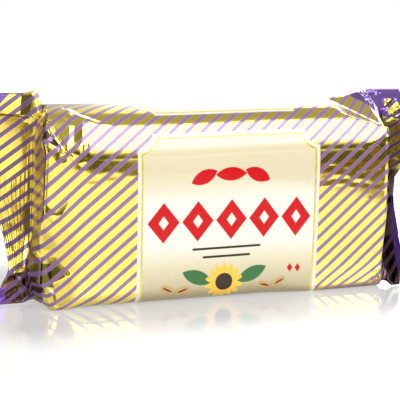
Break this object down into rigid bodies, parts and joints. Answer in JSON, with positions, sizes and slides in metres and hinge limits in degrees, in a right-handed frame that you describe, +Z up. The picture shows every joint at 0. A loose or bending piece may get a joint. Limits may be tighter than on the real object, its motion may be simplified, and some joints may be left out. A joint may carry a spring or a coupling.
{
  "type": "wrapped halva block",
  "caption": "Brick-shaped block of halva standing on its long side, shut in a striped gold film wrap with a crimped fin at each end and a flat back seam.",
  "frame": {"origin": "centre of the pack's bounding box in plan, on the flat base", "axes": "+X along the pack to the label side's right, -Y out of the label side, +Z up"},
  "size_m": [0.1452, 0.0366, 0.0642],
  "materials": {
    "gold_film": "glossy metallised gold plastic film with printed purple diagonal stripes, purple ends and cream panels"
  },
  "bodies": {
    "root": {"halva_pack": "gold_film"}
  },
  "joints": []
}
